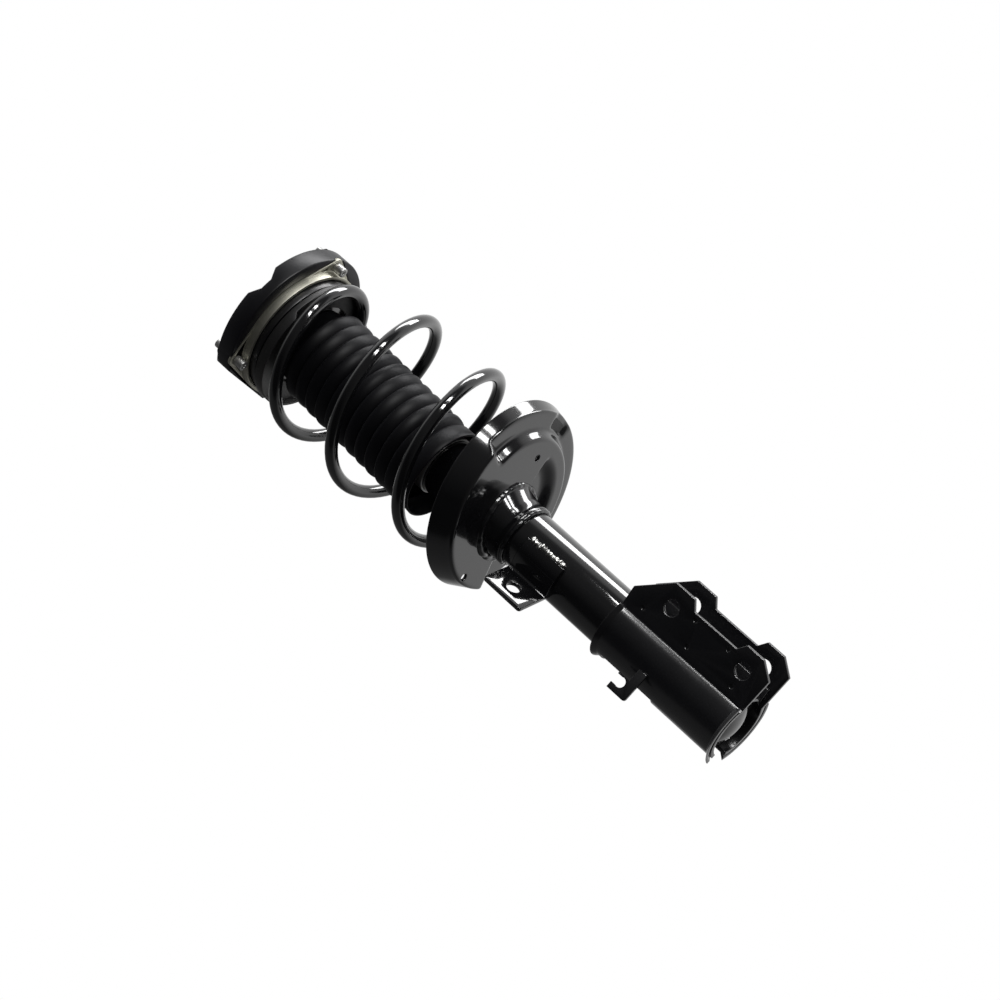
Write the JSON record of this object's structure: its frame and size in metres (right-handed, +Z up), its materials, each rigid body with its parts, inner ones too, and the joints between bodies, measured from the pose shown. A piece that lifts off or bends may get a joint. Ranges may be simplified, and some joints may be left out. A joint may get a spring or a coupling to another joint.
{
  "type": "suspension strut assembly",
  "caption": "Front suspension strut: damper tube with knuckle bracket, coil spring between a dished lower seat and a bearing-mounted top seat, ribbed dust boot and a studded tower mount.",
  "frame": {"origin": "on the strut's axis at the top face of the mount plate, the centre of the stud circle", "axes": "+Z up the strut's axis towards the tower that it bolts to, +X towards the ears of the knuckle bracket, +Y completes the right-handed frame along the knuckle bolts"},
  "size_m": [0.1749, 0.1778, 0.58],
  "materials": {
    "zinc_steel": "bright zinc plating",
    "cover_black": "satin black coat",
    "bolt_steel": "bright plated",
    "rubber": "matt black",
    "alloy": "cast, bare",
    "bearing_plastic": "moulded, dark",
    "chrome_rod": "hard chrome, polished",
    "seal_rubber": "smooth black",
    "bearing_steel": "polished",
    "foam": "closed-cell foam, pale",
    "boot_rubber": "smooth, slightly glossy black",
    "spring_coat": "glossy black powder coat",
    "black_paint": "satin black paint",
    "bronze": "sintered",
    "bare_steel": "drawn, bare",
    "tab_steel": "thin glossy black coat",
    "weld_metal": "rough bead"
  },
  "bodies": {
    "top_mount": {"mount_plate": "zinc_steel", "mount_cover": "cover_black", "mount_studs": "bolt_steel", "mount_rubber": "rubber", "mount_core": "alloy", "rod_washer": "bolt_steel", "rod_nut": "bolt_steel", "bearing_housing": "bearing_plastic", "piston_rod": "chrome_rod", "rebound_stop": "bolt_steel", "valve_discs": "bolt_steel", "piston": "alloy", "piston_band": "seal_rubber", "piston_nut": "bolt_steel"},
    "upper_seat": {"bearing_balls": "bearing_steel", "bearing_cage": "bearing_plastic", "bearing_race": "bearing_plastic", "upper_spring_seat": "black_paint", "upper_isolator": "rubber", "bump_stop": "foam", "dust_boot": "boot_rubber", "coil_spring": "spring_coat"},
    "strut_body": {"reserve_tube": "black_paint", "tube_dome": "black_paint", "tube_cap": "bolt_steel", "rod_guide": "alloy", "rod_bushing": "bronze", "rod_seal": "seal_rubber", "pressure_tube": "bare_steel", "base_valve": "bare_steel", "knuckle_bracket": "black_paint", "bracket_web": "black_paint", "hose_hook": "black_paint", "link_tab": "tab_steel", "link_weld": "weld_metal", "lower_spring_seat": "black_paint", "seat_collar": "black_paint", "collar_weld": "weld_metal", "lower_isolator": "rubber"}
  },
  "joints": [
    {"name": "steering_bearing", "type": "hinge", "parent": "top_mount", "child": "upper_seat", "pos_m": [0, 0, 0], "axis": [0, 0, 1], "range_deg": [-42, 42]},
    {"name": "suspension_travel", "type": "slide", "parent": "upper_seat", "child": "strut_body", "axis": [0, 0, 1], "range_m": [0, 0.105], "stiffness_N_per_m": 15000, "deforming": ["coil_spring", "dust_boot"]}
  ]
}
